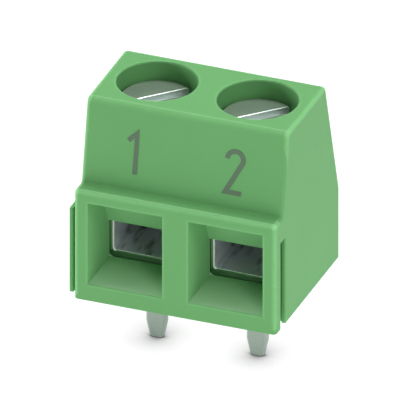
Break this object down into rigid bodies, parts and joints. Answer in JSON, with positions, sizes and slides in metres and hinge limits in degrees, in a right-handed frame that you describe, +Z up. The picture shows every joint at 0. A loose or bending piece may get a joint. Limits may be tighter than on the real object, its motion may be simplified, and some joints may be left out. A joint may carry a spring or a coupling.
{
  "type": "pcb screw terminal",
  "caption": "Board-mount screw terminal with tapered wire entries, slotted screws that lift folded cage clamps, solder pins, and a tongue and groove for joining blocks.",
  "frame": {"origin": "on the board plane (the housing's flat underside), midway between the solder pins", "axes": "+Z up from the board towards the screws, X along the row of poles, wires enter from -Y"},
  "size_m": [0.0107, 0.0084, 0.0137],
  "materials": {
    "housing_green": "fine moulded polyamide, satin",
    "screw_plated": "nickel-plated steel",
    "cage_plated": "nickel-plated steel strip",
    "contact_tinned": "tin-plated copper alloy strip"
  },
  "bodies": {
    "housing": {"housing": "housing_green", "contact_bar_1": "contact_tinned", "contact_bar_2": "contact_tinned"},
    "screw_1": {"clamp_screw_1": "screw_plated"},
    "cage_1": {"clamp_cage_1": "cage_plated"},
    "screw_2": {"clamp_screw_2": "screw_plated"},
    "cage_2": {"clamp_cage_2": "cage_plated"}
  },
  "joints": [
    {"name": "screw_1_turn", "type": "hinge", "parent": "housing", "child": "screw_1", "pos_m": [-0.00254, 0, 0.00908], "axis": [0, 0, -1], "range_deg": [0, 1440]},
    {"name": "cage_1_lift", "type": "slide", "parent": "housing", "child": "cage_1", "axis": [0, 0, 1], "range_m": [0, 0.0018]},
    {"name": "screw_2_turn", "type": "hinge", "parent": "housing", "child": "screw_2", "pos_m": [0.00254, 0, 0.00908], "axis": [0, 0, -1], "range_deg": [0, 1440]},
    {"name": "cage_2_lift", "type": "slide", "parent": "housing", "child": "cage_2", "axis": [0, 0, 1], "range_m": [0, 0.0018]}
  ],
  "couplings": [
    {"joint": "screw_1_turn", "follows": "cage_1_lift", "rad_per_m": 13963},
    {"joint": "screw_2_turn", "follows": "cage_2_lift", "rad_per_m": 13963}
  ]
}
